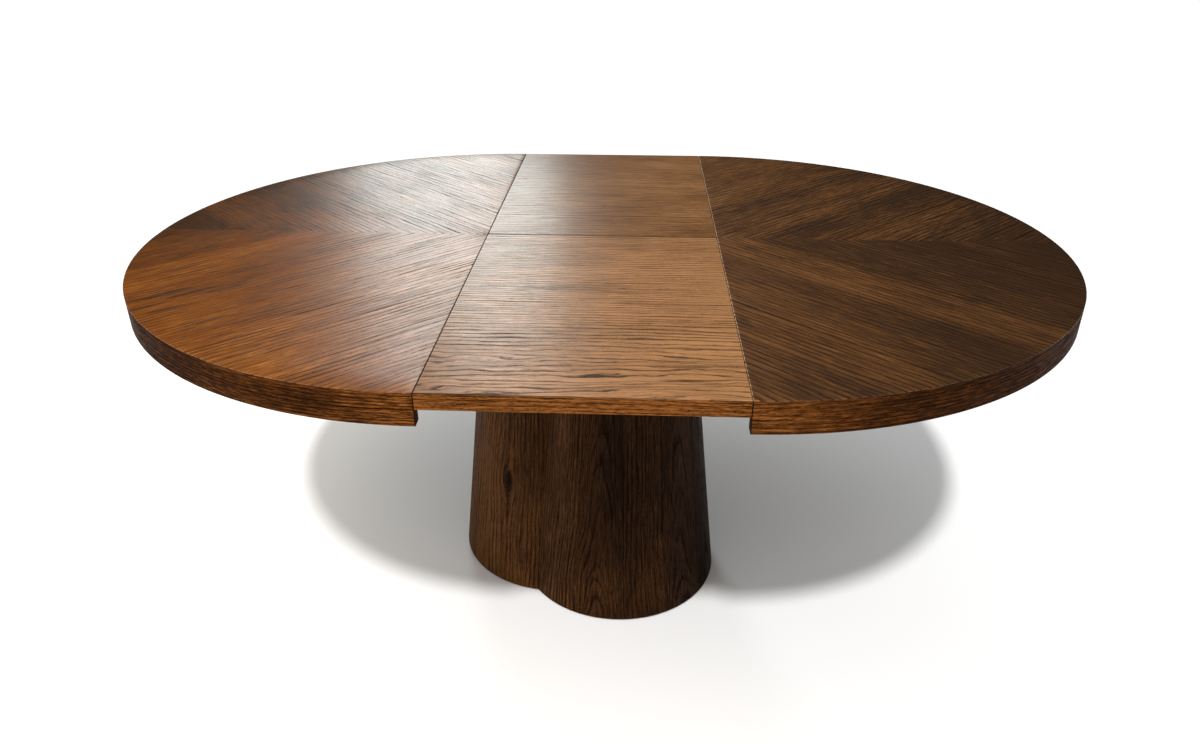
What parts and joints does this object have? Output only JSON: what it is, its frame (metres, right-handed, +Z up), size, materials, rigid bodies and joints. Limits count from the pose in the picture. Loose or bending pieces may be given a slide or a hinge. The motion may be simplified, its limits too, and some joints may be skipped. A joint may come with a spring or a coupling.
{
  "type": "extending pedestal dining table",
  "caption": "Round-ended wooden dining table with geared sliding halves and a drop-in leaf, on a base of two tapered drums that run into each other.",
  "frame": {"origin": "on the floor under the middle of the open top, with the leaf in place", "axes": "+X along the length of the top, the way the halves slide; +Y to the far side of the picture; +Z up"},
  "size_m": [1.777, 1.32, 0.762],
  "materials": {
    "top_veneer": "brown-stained open-pore oak veneer, satin lacquer",
    "edge_veneer": "brown-stained oak edge veneer, grain along the edge, satin lacquer",
    "drum_veneer": "brown-stained oak veneer, upright grain, satin lacquer",
    "bent_ply": "bent plywood, dark stained",
    "panel_board": "board with a stained backing veneer",
    "slide_hardwood": "waxed beech",
    "base_board": "plain plywood",
    "black_steel": "black primer",
    "nylon": "moulded nylon",
    "zinc_steel": "bright zinc plate"
  },
  "bodies": {
    "pedestal": {"front_drum": "drum_veneer", "rear_drum": "drum_veneer", "base_foot_plate": "base_board", "base_middle_rib": "base_board", "base_top_plate": "base_board", "ballast_plate": "black_steel", "ballast_screws": "zinc_steel", "floor_glides": "nylon", "glide_screws": "zinc_steel", "front_rail": "slide_hardwood", "rear_rail": "slide_hardwood", "rail_screws": "zinc_steel", "rail_end_stops": "zinc_steel", "left_bearer": "slide_hardwood", "right_bearer": "slide_hardwood", "bearer_bolts": "zinc_steel", "pinion_block": "slide_hardwood", "pinion_pin": "zinc_steel", "thrust_washer": "nylon"},
    "left_half": {"left_top_panel": "panel_board", "left_front_veneer": "top_veneer", "left_rear_veneer": "top_veneer", "left_edge_band": "edge_veneer", "left_skirt": "bent_ply", "left_front_runner": "slide_hardwood", "left_rear_runner": "slide_hardwood", "left_runner_screws": "zinc_steel", "left_alignment_dowels": "slide_hardwood", "left_rack": "nylon", "left_rack_screws": "zinc_steel", "left_keepers": "zinc_steel", "left_keeper_screws": "zinc_steel"},
    "right_half": {"right_top_panel": "panel_board", "right_front_veneer": "top_veneer", "right_rear_veneer": "top_veneer", "right_edge_band": "edge_veneer", "right_skirt": "bent_ply", "right_front_runner": "slide_hardwood", "right_rear_runner": "slide_hardwood", "right_runner_screws": "zinc_steel", "right_alignment_dowels": "slide_hardwood", "right_rack": "nylon", "right_rack_screws": "zinc_steel", "right_lock_plates": "zinc_steel", "right_lock_screws": "zinc_steel"},
    "leaf": {"leaf_panel": "panel_board", "leaf_front_veneer": "top_veneer", "leaf_rear_veneer": "top_veneer", "leaf_front_edge_band": "edge_veneer", "leaf_rear_edge_band": "edge_veneer", "leaf_lock_plates": "zinc_steel", "leaf_keepers": "zinc_steel", "leaf_lock_screws": "zinc_steel"},
    "pinion": {"pinion_gear": "nylon"},
    "right_front_hook": {"right_front_lock_hook": "zinc_steel"},
    "right_rear_hook": {"right_rear_lock_hook": "zinc_steel"},
    "leaf_front_hook": {"leaf_front_lock_hook": "zinc_steel"},
    "leaf_rear_hook": {"leaf_rear_lock_hook": "zinc_steel"}
  },
  "joints": [
    {"name": "left_slide", "type": "slide", "parent": "pedestal", "child": "left_half", "axis": [-1, 0, 0], "range_m": [0, 0.05]},
    {"name": "right_slide", "type": "slide", "parent": "pedestal", "child": "right_half", "axis": [1, 0, 0], "range_m": [0, 0.05]},
    {"name": "pinion_spin", "type": "hinge", "parent": "pedestal", "child": "pinion", "pos_m": [0, 0, 0.725], "axis": [0, 0, 1], "range_deg": [-128, 0]},
    {"name": "leaf_lift", "type": "slide", "parent": "pedestal", "child": "leaf", "axis": [0, 0, 1], "range_m": [0, 0.25]},
    {"name": "right_front_lock", "type": "hinge", "parent": "right_half", "child": "right_front_hook", "pos_m": [0.2585, -0.43, 0.726], "axis": [0, 0, 1], "range_deg": [0, 90]},
    {"name": "right_rear_lock", "type": "hinge", "parent": "right_half", "child": "right_rear_hook", "pos_m": [0.2585, 0.43, 0.726], "axis": [0, 0, -1], "range_deg": [0, 90]},
    {"name": "leaf_front_lock", "type": "hinge", "parent": "leaf", "child": "leaf_front_hook", "pos_m": [-0.1977, -0.43, 0.726], "axis": [0, 0, 1], "range_deg": [0, 90]},
    {"name": "leaf_rear_lock", "type": "hinge", "parent": "leaf", "child": "leaf_rear_hook", "pos_m": [-0.1977, 0.43, 0.726], "axis": [0, 0, -1], "range_deg": [0, 90]}
  ],
  "couplings": [
    {"joint": "right_slide", "follows": "left_slide", "ratio": 1},
    {"joint": "pinion_spin", "follows": "left_slide", "rad_per_m": -44.444}
  ]
}
